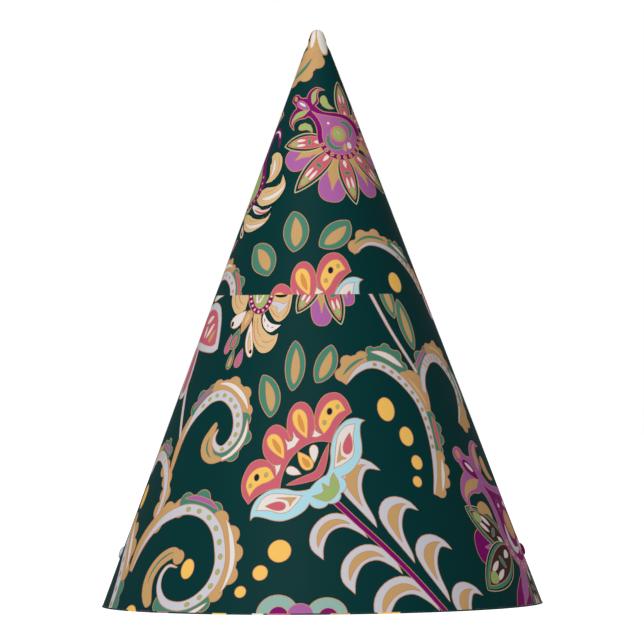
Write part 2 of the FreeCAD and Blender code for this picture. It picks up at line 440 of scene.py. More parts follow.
def sheet_faces(printing, outline, holes, loose):
    """Points, triangles and each triangle's ink for a printed sheet with holes."""
    ink_names = sorted(INKS)
    inks = np.array([ink_names.index(ink) for _, ink in printing.shapes] + [ink_names.index("ground")])
    borders = [facing_out(loop) for loop in [outline] + holes]

    def colour(points, triangles):
        centres = points[triangles].mean(1)
        result = inks[paint_triangles(centres, printing.shapes)]
        result[~inside(centres, borders[0])] = -1
        for hole in borders[1:]:
            result[inside(centres, hole)] = -1
        return result

    low, high = borders[0].min(0), borders[0].max(0)
    near = [shape for shape, _ in printing.shapes
            if (shape.max(0) > low).all() and (shape.min(0) < high).all()]
    points, triangles = subdivide([], near + borders)
    found = colour(points, triangles)
    edges = visible_borders(points, triangles, found)
    used = np.unique(edges)
    renumber = np.full(len(points), -1)
    renumber[used] = np.arange(len(used))
    corners = [Vector(points[k]) for k in used] + [Vector(point) for point in loose]
    result = delaunay_2d_cdt(corners, renumber[edges].tolist(), [], 0, MERGE)
    points, triangles = np.array([tuple(v) for v in result[0]]), np.array(result[2], int)
    found = colour(points, triangles)
    keep = found >= 0
    return points, triangles[keep], [ink_names[k] for k in found[keep]]


def open_sides(triangles):
    """The sides that only one triangle has, in that triangle's direction."""
    sides, _ = edge_table(triangles)
    ordered = np.sort(sides, axis=1)
    _, first, count = np.unique(ordered, axis=0, return_index=True, return_counts=True)
    return sides[first[count == 1]]


NORMAL_STEP = 0.02


def surface_normals(points, lift_of):
    """Square to the wrapped surface at flat points, by small steps each way."""
    across = np.array([NORMAL_STEP, 0.0])
    up = np.array([0.0, NORMAL_STEP])

    def place(at):
        return wrap(at, lift_of(at))

    normal = np.cross(place(points + across) - place(points - across),
                      place(points + up) - place(points - up))
    return normal / np.linalg.norm(normal, axis=1, keepdims=True)


def build_sheet(name, printing, outline, holes, loose, outer_lift, inner_lift):
    """A printed sheet with thickness: inked outside, plain card inside, cut card at its edges."""
    points, triangles, inks = sheet_faces(printing, outline, holes, loose)
    used, flat_index = np.unique(triangles, return_inverse=True)
    points, triangles = points[used], flat_index.reshape(-1, 3)
    sides = open_sides(triangles)
    rim = np.unique(sides)
    renumber = np.full(len(points), -1)
    renumber[rim] = np.arange(len(rim))
    corners = [Vector(points[k]) for k in rim] + [Vector(point) for point in loose]
    result = delaunay_2d_cdt(corners, renumber[sides].tolist(), [], 0, MERGE)
    inner_points = np.array([tuple(v) for v in result[0]])
    inner_triangles = np.array(result[2], int)
    centres = inner_points[inner_triangles].mean(1)
    keep = inside(centres, facing_out(outline))
    for hole in holes:
        keep &= ~inside(centres, facing_out(hole))
    inner_triangles = inner_triangles[keep]
    twin = np.full(len(rim), -1)
    for new, old in enumerate(result[3]):
        for index in old:
            if index < len(rim):
                twin[index] = new

    outer_count = len(points)
    inner_of = outer_count + twin[renumber]
    walls = np.stack([sides[:, 1], sides[:, 0], inner_of[sides[:, 0]], inner_of[sides[:, 1]]], axis=1)
    places = np.vstack([wrap(points, outer_lift(points)), wrap(inner_points, inner_lift(inner_points))])
    faces = triangles.tolist() + (outer_count + inner_triangles[:, ::-1]).tolist() + walls.tolist()
    mesh = bpy.data.meshes.new(name)
    mesh.from_pydata((places * MM).tolist(), [], faces)
    slots = sorted(set(inks))
    for ink in slots:
        mesh.materials.append(PRINTED[ink])
    mesh.materials.append(CARD_BACK)
    mesh.materials.append(CARD_EDGE)
    index = [slots.index(ink) for ink in inks]
    index += [len(slots)] * len(inner_triangles) + [len(slots) + 1] * len(walls)
    mesh.polygons.foreach_set("material_index", index)

    outer_normals = surface_normals(points, outer_lift)
    inner_normals = -surface_normals(inner_points, inner_lift)
    a, b, c = (places[walls[:, k]] for k in (0, 1, 2))
    wall_normals = np.cross(b - a, c - b)
    wall_normals /= np.maximum(np.linalg.norm(wall_normals, axis=1, keepdims=True), 1e-12)
    loops = np.vstack([
        outer_normals[triangles.ravel()],
        inner_normals[inner_triangles[:, ::-1].ravel()],
        np.repeat(wall_normals, 4, axis=0),
    ])
    mesh.polygons.foreach_set("use_smooth", [True] * len(faces))
    mesh.normals_split_custom_set(loops.tolist())
    mesh.update()
    piece = bpy.data.objects.new(name, mesh)
    bpy.context.scene.collection.objects.link(piece)
    return piece


# ---------------------------------------------------------------- motifs

def bow(base, tip, bulge, peak=0.5):
    """A line between two flat points that bulges to its left, most at a share of its length."""
    chord = tip - base
    side = np.array([-chord[1], chord[0]]) / np.linalg.norm(chord)
    share = np.linspace(0, 1, 9)
    rise = share ** (peak / (1 - peak)) * (1 - share)
    return Line(base + share[:, None] * chord + (bulge * rise / rise.max())[:, None] * side)


def crescent(base, tip, outer, inner, side=1):
    """The two edges of a crescent between flat points.

    Each edge is given by shares of the chord: how far along it and how far to its left.
    """
    chord = tip - base
    left = side * np.array([-chord[1], chord[0]])
    edges = []
    for shares in (outer, inner):
        along, beside = np.array([(0, 0), *shares, (1, 0)]).T
        edges.append(Line(base + along[:, None] * chord + beside[:, None] * left))
    return edges


def between(edges, start=0.0, end=1.0, near=0.0, far=1.0, taper=0.0):
    """An outline between two edges that keeps to a near and a far share of their gap."""
    share = np.linspace(0, 1, 22)
    outer, inner = (edge.at(start + share * (end - start)) for edge in edges)
    reach = (far - near) / 2 * np.sin(math.pi * share) ** taper
    middle = (near + far) / 2
    left = outer + (middle - reach)[:, None] * (inner - outer)
    right = outer + (middle + reach)[:, None] * (inner - outer)
    return np.vstack([left, right[::-1]])


def leaf(sheet, spot, length, width, lean=0.0):
    """A green leaf, pointed at both ends, with a gold heart."""
    line = bow(*spot((0, -length / 2), (0, length / 2)), lean)
    sheet.paint(ribbon(line, width, taper=(0.72, 0.72)), "green")
    sheet.paint(ribbon(line, width * 0.42, 0.14, 0.84, -width * 0.03, (0.7, 0.9)), "gold", keyline=0.2)


def dot(sheet, place, half_width, half_height=None, ink="yellow"):
    sheet.paint(oval(Spot(*place), (0, 0), half_width, half_height), ink, keyline=0.26)


def drop(sheet, line, width, ink, core=None, edge="salmon"):
    """A drop that is round where its line starts and pointed where it ends."""
    sheet.paint(ribbon(line, width, taper=(0.5, 1.0)), ink, edge, 0.24)
    if core:
        sheet.paint(ribbon(line, width * 0.45, 0.12, 0.7, taper=(0.5, 1.0)), core, edge, 0.16)


RISING = ([(0.28, 0.32), (0.5, 0.56), (0.75, 0.73), (1.02, 0.68), (1.15, 0.46), (1.12, 0.19)],
          [(0.15, 0.05), (0.44, 0.23), (0.68, 0.3), (0.92, 0.27), (1.0, 0.19)])
HANGING = ([(0.02, 0.32), (0.17, 0.6), (0.4, 0.76), (0.7, 0.75), (0.97, 0.59), (1.1, 0.31)],
           [(0.14, 0.23), (0.34, 0.42), (0.62, 0.43), (0.86, 0.24)])
HORN = ([(0.05, 0.4), (0.5, 0.56), (0.9, 0.4)], [(0.36, -0.04), (0.58, 0.14), (0.82, 0.2)])


def sickle(sheet, base, tip, shape, side=1):
    """A lavender sickle with a gold heart, thin at its base and hooked over at its tip."""
    edges = crescent(flat(*base), flat(*tip), *shape, side)
    sheet.paint(between(edges), "lavender")
    sheet.paint(between(edges, 0.26, 0.84, 0.37, 0.83, 0.8), "gold", keyline=0.22)


def pearls(sheet, line, start, end, count, length=1.5, width=1.1, ink="leaf_light"):
    """Small ovals along a line."""
    half = length / line.length / 2
    for share in np.linspace(start, end, count):
        sheet.paint(ribbon(line, width, share - half, share + half), ink, keyline=0.24)


def fringe(sheet, line, start, end, near, reach, lobes, ink, accent=None):
    """Scallops along one side of a line: the left if near and reach are positive, else the right.

    An accent ink, if any, is a broad sliver along the line.
    """
    span = line.length * abs(end - start)
    radius = 0.56 * span / lobes
    side = math.copysign(1, reach)
    share = np.linspace(0, 1, 24)
    rise = np.sin(math.pi * np.clip(share, 0.03, 0.97)) ** 0.55
    along = start + share * (end - start)
    outer = line.at(along, near + (reach - side * 0.6 * radius) * rise)
    body = np.vstack([line.at(along), outer[::-1]])
    lobe_shares = (np.arange(lobes) + 0.5) / lobes
    lobe_rise = np.sin(math.pi * lobe_shares) ** 0.4
    centres = line.at(start + lobe_shares * (end - start), near + reach * lobe_rise - side * radius)
    around = np.linspace(0, 2 * math.pi, 18, endpoint=False)
    ring = radius * np.stack([np.cos(around), np.sin(around)], axis=1)
    sheet.paint([body] + [centre + ring for centre in centres], ink)
    if accent:
        low, high = start + 0.12 * (end - start), start + 0.88 * (end - start)
        shift = near + 0.42 * reach
        sheet.paint(ribbon(line, abs(reach) * 0.3, low, high, shift, (0.8, 0.8)), accent, keyline=0.22)


def fan_flower(sheet, spot):
    """A fan of rose lobes over a dark cup, between two sky-blue leaves on a small calyx."""
    rose = [ribbon(Line(spot(*polar(*[(turn, 17.0) for turn in range(-50, 51, 10)]))), 3.4, taper=(0, 0))]
    for side in (-1, 1):
        rose.append(strokes(spot, polar(
            (50, 15.6), (38, 16.5), (28.5, 21), (30, 26), (36, 29.6), (45, 31), (53, 30), (60, 27.4),
            side=side), polar((60, 27.4), (56, 24.4), (52, 20.3), (50, 15.6), side=side)))
        rose.append(strokes(spot, polar(
            (28, 19), (28, 22), (25.5, 25.5), (20, 28.2), (13, 29.1), (7, 28), (2.5, 25.5), (0, 22.3),
            (2, 18), side=side), polar((2, 18), (15, 17.5), (28, 19), side=side)))
    sheet.paint(rose, "rose")
    for side in (-1, 1):
        seed = Line(spot(*polar((13.5, 27.2), (14.5, 22), (17.5, 17.3), side=side)))
        drop(sheet, seed, 5.0, "yellow")
        sheet.paint(ribbon(seed, 1.7, 0.16, 0.8, taper=(0.8, 0.8)), "orange", keyline=0.14)
        sheet.paint(strokes(spot, polar(
            (39, 17.8), (33, 20.4), (33, 23), (37, 26.3), (42, 28.3), (48, 28.9), (55, 27),
            side=side), polar((55, 27), (50, 25), (46.5, 22.5), (44, 20), (39, 17.8), side=side)),
            "yellow", keyline=0.22)
        for turn, far, radius, ink in ((42, 25, 1.15, "dark"), (38.5, 21.4, 0.75, "leaf_light"),
                                       (48, 27, 0.7, "leaf_light")):
            sheet.paint(oval(spot, polar((turn, far), side=side)[0], radius), ink, keyline=0.24)
        sheet.paint(strokes(
            spot,
            polar((28.5, 21.4), (29.5, 18.9), (37, 17.5), side=side),
            polar((37, 17.5), (30, 16.9), (24, 17.3), side=side),
            polar((24, 17.3), (27.5, 18.9), (28.5, 21.4), side=side),
        ), "white", keyline=0.2)
    middle_gap = polar((0, 19.4), (3.5, 20), (5, 21.8), (6, 19.6), (9, 18.2), (0, 17.2))
    middle_gap += polar((9, 18.2), (6, 19.6), (5, 21.8), (3.5, 20), side=-1)
    sheet.paint(spot(*middle_gap), "white", keyline=0.2)

    for side in (-1, 1):
        drop(sheet, Line(spot(*polar((25, 14.6), (19.5, 8.8), side=side))), 3.0, "white")
    drop(sheet, Line(spot(*polar((6, 7.4), (1, 15.0)))), 4.2, "yellow", "orange")
    swoosh = Line(spot(*polar((-46, 12.8), (-38, 9.2), (-20, 6), (8, 4.7), (30, 5.6), (41, 8.6),
                              (45, 12), (47, 15))))
    sheet.paint(ribbon(swoosh, 2.7, taper=(0.8, 0.9)), "rose", keyline=0.24)

    calyx = [oval(spot, (0, -0.6), 7.0, 3.4)]
    calyx += [oval(spot, place, radius) for place, radius in (((-3.9, -2.4), 3.4), ((3.9, -2.4), 3.4),
                                                               ((0, -4.0), 3.2))]
    for side in (-1, 1):
        calyx.append(strokes(
            spot,
            polar((20, 1.6), (60, 5.4), (57, 9.5), (51.5, 13), (51, 17.5), (54, 21), (59, 24.3), (65, 26.4),
                  (71.5, 27.6), side=side),
            polar((71.5, 27.6), (70.5, 25.8), (74, 23.2), (83, 20), (90, 17.4), (97, 13.6), (102, 10),
                  (100, 6.6), side=side),
        ))
    sheet.paint(calyx, "sky")
    for side in (-1, 1):
        sheet.paint(strokes(
            spot,
            polar((72, 7.6), (62, 11.3), (57, 15.3), (56, 19), (60, 22.3), (66.5, 24.7), side=side),
            polar((66.5, 24.7), (71, 20.4), (79, 17.4), (84, 14.6), (82, 11), (72, 7.6), side=side),
        ), "white", keyline=0.24)
        drop(sheet, Line(spot(*polar((76, 14.2), (66, 21), side=side))), 3.2, "rose")
        sheet.paint(strokes(
            spot,
            polar((61, 17), (65, 12.6), (71, 9.6), side=side),
            polar((71, 9.6), (75, 11.6), (80, 13), side=side),
            polar((80, 13), (69, 13), (61, 17), side=side),
        ), "gold", keyline=0.2)
    sheet.paint(strokes(
        spot,
        [(6, 1.4), (4, 0.6), (1.6, -1.6)],
        [(1.6, -1.6), (0.6, 1.2)],
        [(0.6, 1.2), (-0.8, -1.4)],
        [(-0.8, -1.4), (-2.6, -1.2), (-5, 0)],
        [(-5, 0), (-3.9, -2.8), (-2.2, -5), (0.8, -5.2), (3.6, -4.1), (5.3, -1.8), (6, 1.4)],
    ), "leaf_light", keyline=0.24)


def pointed_petal(sheet, base, tip, width, border="green", lining="dark", flesh="rose"):
    """A pointed petal of nested drops, between two flat points."""
    line = Line([base, tip])
    shape = (0.6, 0.8)
    sheet.paint(ribbon(line, width, taper=shape), border, "cream", 0.3)
    sheet.paint(ribbon(line, width * 0.9, 0.0, 0.975, taper=shape), lining, border, 0.2)
    sheet.paint(ribbon(line, width * 0.68, 0.0, 0.9, taper=shape), flesh, "salmon", 0.3)
    for shift in (-0.13, 0.13):
        sheet.paint(ribbon(line, width * 0.15, 0.44, 0.7, shift * width, (0.8, 0.8)), "white", keyline=0.1)
    sheet.paint(ribbon(line, width * 0.32, 0.64, 0.84, taper=(0.5, 0.8)), "leaf_light", keyline=0.2)
    sheet.paint(ribbon(line, width * 0.36, 0.32, 0.4), "green", keyline=0.16)
    sheet.paint(ribbon(line, width * 0.2, 0.1, 0.26, taper=(0.5, 0.9)), "white", keyline=0.1)


def round_petal(sheet, base, tip, width, flesh="mauve", wedge="gold"):
    """A broad round petal with a stepped wedge at its foot, between two flat points."""
    line = Line([base, tip])
    sheet.paint(ribbon(line, width, taper=(0.9, 0.4)), flesh)
    widths = [0.7, 0.7, 0.66, 0.5, 0.58, 0.36, 0.2, 0.1]
    sheet.paint(ribbon(line, [width * part for part in widths], 0.0, 0.76, taper=(0.0, 0.3)),
                wedge, keyline=0.2)


def small_drop(sheet, base, tip, width, ink, core=None):
    """A slightly bowed drop between two places on the hat."""
    drop(sheet, bow(flat(*base), flat(*tip), width * 0.2), width, ink, core)


def pod(sheet, base, tip, width):
    """A narrow lavender pod with rose flesh."""
    line = bow(flat(*base), flat(*tip), 0.0)
    sheet.paint(ribbon(line, width, taper=(0.5, 0.3)), "lavender")
    sheet.paint(ribbon(line, width * 0.6, 0.08, 0.9, taper=(0.5, 0.3)), "rose", keyline=0.22)


def round_pod(sheet, spot):
    """A wide lavender pod, with rose flesh, white slivers and a corner at its lower right."""
    skin = [(12.8, -7.2), (11.2, -2.5), (8.2, 3.7), (3.8, 8), (-2.8, 8.9), (-11.5, 6.6), (-16, 0),
            (-12.5, -6.6), (-5, -7.8), (3, -8.8), (9.9, -8.8), (12.8, -7.2)]
    sheet.paint(strokes(spot, skin), "lavender")
    flesh = [(10.2, -5.6), (9, -2), (6.2, 3), (2.6, 5.8), (-3, 6.4), (-9.6, 4.6), (-12.6, 0),
             (-9.8, -4.4), (-4, -5.4), (3, -6.4), (7.9, -6.6), (10.2, -5.6)]
    sheet.paint(strokes(spot, flesh), "rose", keyline=0.22)
    for sliver, width in ((((2, 4), (-3.6, 1.4)), 2.4), (((4.6, 1.6), (0.6, -4.2)), 2.1),
                          (((-1.6, 0.6), (-1.2, -4)), 1.9)):
        sheet.paint(ribbon(Line(spot(*sliver)), width, taper=(0.8, 0.8)), "white", keyline=0.12)
    sheet.paint(ribbon(Line(spot((6.8, -0.6), (4.6, -5.2))), 2.6, taper=(0.8, 0.3)), "gold", keyline=0.16)


def bud_flower(sheet, spot, skin, flesh, disc, comma, swirls="green"):
    """A round bulb with a pearled skin that narrows to a neck with two horns."""
    bulb = [(-13.6, 12.6), (-11.5, 9.1), (-9.3, 7.3), (-8.2, 5), (-7.9, 2), (-8.3, -1.2), (-7.6, -4.7),
            (-5.6, -7.8), (-2.6, -9.4), (0.8, -9.6), (4.3, -8.2), (7.6, -4.7), (9.7, -0.3), (10, 3.6),
            (6.9, 6), (4, 7.2), (0.2, 7.8), (-4.1, 8.5), (-6.4, 10.6), (-9.7, 15)]
    horns = [crescent(*spot((-7.4, 10.6), (-2.4, 16.4)), *HORN),
             crescent(*spot((-7.8, 9.8), (-15.9, 4.4)), *HORN, -1)]
    size = spot.size
    outlines = [strokes(spot, bulb + bulb[:1]), oval(spot, (-13.1, 15.8), 1.7),
                ribbon(Line(spot((-9.5, 10.5), (-12, 14), (-13, 16))), 4.4 * size, taper=(0.1, 0.3))]
    outlines += [between(horn) for horn in horns]
    sheet.paint(outlines, skin)
    for horn in horns:
        sheet.paint(between(horn, 0.16, 0.86, 0.36, 0.82, 0.8), comma, keyline=0.16)
    inner = [(-8.4, 9.6), (-6.3, 8), (-2.3, 6.7), (2.9, 5.7), (6.4, 3.4), (7.4, -0.6), (5.6, -4.4),
             (2.4, -7.0), (-1.7, -7.6), (-4.3, -6.3), (-5.9, -3.8), (-6.4, -1), (-6, 2.4), (-6.6, 6)]
    sheet.paint(strokes(spot, inner + inner[:1]), flesh, keyline=0.24)
    sheet.paint(ribbon(Line(spot((-8.9, 10), (-12.8, 14.6))), 2.6 * size, taper=(0.8, 0.5)),
                flesh, keyline=0.2)
    sheet.paint(ribbon(Line(spot((-10, 11.8), (-12, 14))), 0.9 * size), "white", keyline=0.1)
    sheet.paint(oval(spot, (-13.2, 16), 0.6, 0.9), "orange", keyline=0.16)
    border = Line(spot((-7.2, -2.9), (-6.2, -5.2), (-4.3, -7.3), (-2.1, -8.5), (0.2, -8.7), (3.2, -7.7),
                       (5.6, -5.6), (7.8, -3), (8.8, 0)))
    pearls(sheet, border, 0.02, 0.98, 10, 1.3 * size, 1.3 * size, "cream")
    pearls(sheet, border, 0.02, 0.98, 10, 0.7 * size, 0.7 * size, skin)
    sheet.paint(oval(spot, (-0.4, 0), 3.0), "salmon", keyline=0.2)
    sheet.paint(oval(spot, (-0.4, 0), 2.3), disc, keyline=0.24)
    sheet.paint(oval(spot, (-0.5, 0.3), 0.34, 1.2, 35), "cream", keyline=0.1)
    for swirl in (((0.4, 4.3), (3.4, 4.0), (4.9, 1.4), (3.4, -2.1)), ((-4.3, 0.3), (-4.6, -3), (-2.8, -5.2),
                                                                     (0.8, -4.8))):
        sheet.paint(ribbon(Line(spot(*swirl)), 1.7 * size, taper=(0.6, 0.8)), swirls, keyline=0.2)
    sheet.paint(oval(spot, (-3.5, 4.1), 1.2), flesh, "rose", 0.24)
    sheet.paint(oval(spot, (-3.5, 4.1), 0.5), "white", keyline=0.1)
    sheet.paint(oval(spot, (3.0, -4.2), 1.0, 1.3), "white", keyline=0.24)
    sheet.paint(ribbon(Line(spot((0.9, -6.4), (1.2, -3.2))), 1.3 * size, taper=(0.4, 0.9)),
                "gold", keyline=0.14)
    for base, tip in (((-3.2, 14.4), (-0.4, 9.4)), ((-14.0, 4.2), (-9.6, 1.6))):
        away = 1 if base[1] > 10 else -1
        drop(sheet, bow(*spot(base, tip), -away * 1.6 * size), 2.5 * size, comma)


# ---------------------------------------------------------------- the print's layout

def shifted(turn, *places):
    return [(azimuth + turn, height) for azimuth, height in places]


def flat_pair(turn, base, tip):
    return [flat(azimuth + turn, height) for azimuth, height in (base, tip)]


def fringes(sheet, line, *rows):
    """A fringe along the line for each row of fringe's other arguments."""
    for row in rows:
        fringe(sheet, line, *row)


def band(sheet, line, widths, taper, *pearl_rows, start=0.0):
    """A lavender band along a line, with a run of pearls for each row of pearls' other arguments."""
    sheet.paint(ribbon(line, widths, start, 1.0, taper=taper), "lavender")
    for row in pearl_rows:
        pearls(sheet, line, *row)


def small_scroll(sheet, turn):
    """The scroll left of the fan flower, on a long gold stalk."""
    line = route(*shifted(turn, (-60.5, 46), (-60.5, 57), (-57, 65), (-52, 70), (-48, 72.3), (-43, 73),
                          (-38.5, 71.6), (-34.5, 68.4), (-32.5, 64), (-32.5, 59.8), (-34.5, 56.4),
                          (-37.5, 54.7), (-40.5, 55.8), (-42, 58.4), (-41, 61.4)))
    sheet.paint(ribbon(line, [2.4, 3.2, 3.8, 3.6], 0.0, 0.36, 0.9, (0.3, 0.4)), "gold")
    fringes(sheet, line, (0.29, 0.47, 1.2, 5.0, 3, "green", "mauve"),
            (0.44, 0.69, 1.4, 6.4, 4, "gold", "white"),
            (0.66, 0.93, 1.4, 5.2, 4, "green", "white"))
    curl = route(*shifted(turn, (-36.5, 51.4), (-41, 51.6), (-44, 54), (-44.8, 57), (-44, 60), (-42.5, 63.6)))
    sheet.paint(ribbon(curl, [2.6, 3.6, 5.0, 5.0, 3.6, 3.0], taper=(0.3, 0.35)), "gold")
    sheet.paint(ribbon(curl, 0.9, 0.25, 0.72, -0.2), "green", keyline=0.12)
    band(sheet, line, [0.6, 2.4, 4.0, 4.2, 4.0, 3.8, 3.4, 2.6, 1.4], (0.5, 0.3),
         (0.37, 0.86, 11, 1.7, 1.3), start=0.12)


def large_scroll(sheet, turn):
    """The big scroll at the lower left, which winds inwards to a gold curl."""
    line = route(*shifted(turn, (-66, 13), (-64, 22), (-58, 29.5), (-52, 33), (-45, 34.6), (-38, 33),
                          (-33, 28.5), (-30.5, 22.5), (-29.5, 16), (-31, 9.5), (-35, 4.5), (-40, 2.4),
                          (-45.5, 3.6), (-49, 7.8), (-49.6, 12.4), (-47.5, 15.6), (-44, 15.2)))
    sheet.paint(ribbon(line, [4.4, 6.0, 5.8, 5.0, 4.2], 0.0, 0.31, 1.6, (0.25, 0.3)), "gold")
    fringes(sheet, line, (0.14, 0.3, 1.2, 4.4, 3, "gold"),
            (0.27, 0.43, 1.6, 6.0, 3, "green", "mauve"),
            (0.41, 0.67, 1.8, 6.6, 5, "gold", "white"),
            (0.66, 0.76, 1.6, 4.6, 2, "green", "white"),
            (0.76, 0.86, 1.6, 4.0, 2, "green"))
    curl = route(*shifted(turn, (-51.5, 2), (-54, 7), (-54.5, 12), (-52, 17), (-47, 20), (-43.3, 18)))
    sheet.paint([ribbon(curl, [5.6, 5.6, 5.2, 4.8, 5.2, 5.0], taper=(0.3, 0.4)),
                 oval(Spot(-44.5 + turn, 18.6), (0, 0), 2.5)], "gold")
    sheet.paint(ribbon(curl, 0.9, 0.3, 0.84, 0.1), "green", keyline=0.12)
    band(sheet, line, [0.8, 1.6, 2.8, 3.6, 3.8, 4.0, 4.2, 4.2, 4.0, 3.8, 3.6, 2.8, 1.6], (0.15, 0.3),
         (0.31, 0.73, 10, 2.1, 1.6))


def arch_scroll(sheet, turn):
    """The arched scroll at the right, with pearls and a gold tail."""
    line = route(*shifted(turn, (10.5, 76.4), (15, 80.4), (20, 82.6), (25.5, 82.8), (31, 80.8), (37, 76.5),
                          (42, 70), (43.5, 62.5), (43, 54), (41.2, 46), (38.6, 39)))
    fringe(sheet, line, 0.0, 0.18, 0.8, 6.0, 3, "gold")
    sheet.paint(ribbon(line, 1.1, 0.03, 0.16, 2.6, (0.6, 0.6)), "green", keyline=0.14)
    fringes(sheet, line, (0.165, 0.36, 1.2, 7.8, 4, "green", "white"),
            (0.34, 0.58, 1.0, 4.4, 4, "gold", "cream"),
            (0.56, 0.78, 1.0, 5.4, 4, "green", "rose"),
            (0.76, 1.0, 1.0, 5.6, 4, "gold", "white"))
    band(sheet, line, [0.6, 2.2, 3.0, 3.0, 2.8, 2.6, 2.4, 2.2, 1.9, 1.3], (0.15, 0.15),
         (0.2, 0.74, 12, 1.5, 1.1, "olive"))


def side_arch(sheet, turn):
    """The narrow arch beside the arched scroll, joined to it by a gold web."""
    web = route(*shifted(turn, (36, 80.5), (43, 78), (46, 72), (45.5, 62)))
    sheet.paint(ribbon(web, [3, 5.4, 4.0, 2.0], taper=(0.4, 0.7)), "gold")
    sheet.paint(ribbon(web, 0.8, 0.35, 0.85, -0.6), "cream", keyline=0.2)
    line = route(*shifted(turn, (46, 68), (48, 77.5), (51.5, 81.8), (57, 84.7), (64, 84.4), (70.5, 80),
                          (73.5, 74), (70, 68), (64, 62.6)))
    fringes(sheet, line, (0.2, 0.42, 1.2, 4.6, 3, "green", "mauve"),
            (0.38, 0.62, 1.2, 6.0, 4, "gold", "cream"),
            (0.6, 0.84, 1.2, 6.0, 4, "green", "white"),
            (0.8, 1.0, 0.8, 7.0, 3, "gold"))
    band(sheet, line, [1.2, 2.0, 2.8, 3.2, 3.2, 3.0, 2.6, 2.0, 1.2], (0.2, 0.2),
         (0.3, 0.48, 6, 0.6, 1.9, "cream"),
         (0.54, 0.84, 6, 1.3, 1.0, "olive"))


def left_arch(sheet, turn):
    """The arch at the left edge, which runs down into the big scroll's stalk."""
    line = route(*shifted(turn, (-84, 46), (-80, 51.5), (-72, 51.5), (-65, 47), (-61, 40), (-61, 33.5),
                          (-63, 27), (-66, 17)))
    fringes(sheet, line, (0.0, 0.2, 1.2, 4.4, 3, "gold"),
            (0.17, 0.34, 1.2, 6.0, 3, "green", "mauve"),
            (0.33, 0.72, 0.8, 3.0, 4, "gold", "cream"))
    band(sheet, line, [2.4, 3.6, 3.6, 2.8, 2.2, 1.8, 1.4, 1.2], (0.1, 0.2),
         (0.1, 0.32, 5, 0.6, 2.2, "cream"))
    dot(sheet, (-80 + turn, 38), 3.0, 4.4)


def corner_scroll(sheet, turn):
    """The pearled band that rises from the rim at the left edge."""
    line = route(*shifted(turn, (-88, 30), (-80.5, 21.5), (-76, 14.5), (-74, 8), (-73, -2)))
    fringes(sheet, line, (0.06, 0.72, 1.8, 9.4, 4, "gold", "white"),
            (0.7, 0.98, 1.8, 6.4, 2, "green"))
    band(sheet, line, [1.5, 4.2, 5.0, 5.0, 4.6], (0.15, 0.15),
         (0.2, 0.9, 6, 2.1, 1.6, "olive"))


def sickle_stem(sheet, turn):
    """The purple stem under the fan flower, with sickles on both sides."""
    right_hand = [((16.5, 28.4), (20, 47.4)), ((26.5, 16.4), (31, 33.8)), ((35, 3.2), (40, 20.5)),
                  ((43, -12), (47, 4.8))]
    left_hand = [((13.4, 25), (0.4, 18.1)), ((22.4, 12.8), (8.6, 6.7)), ((31.4, 0.2), (16.6, -5.6))]
    for base, tip in right_hand:
        sickle(sheet, *shifted(turn, base, tip), RISING)
    for base, tip in left_hand:
        sickle(sheet, *shifted(turn, base, tip), HANGING, -1)
    line = route(*shifted(turn, (3.5, 38), (11, 30), (22, 17), (32.5, 1), (36, -5)))
    sheet.paint(ribbon(line, 1.9, taper=(0, 0)), "purple")


def plume(sheet, spot, *parts, ink="cream", veins=(), vein="salmon"):
    """A feather inside local strokes, with a dark edge and thin veins."""
    sheet.paint(strokes(spot, *parts), ink, "dark", 0.5)
    for places in veins:
        sheet.paint(ribbon(Line(spot(*places)), 0.34, taper=(0.3, 0.6)), vein, keyline=0.08)


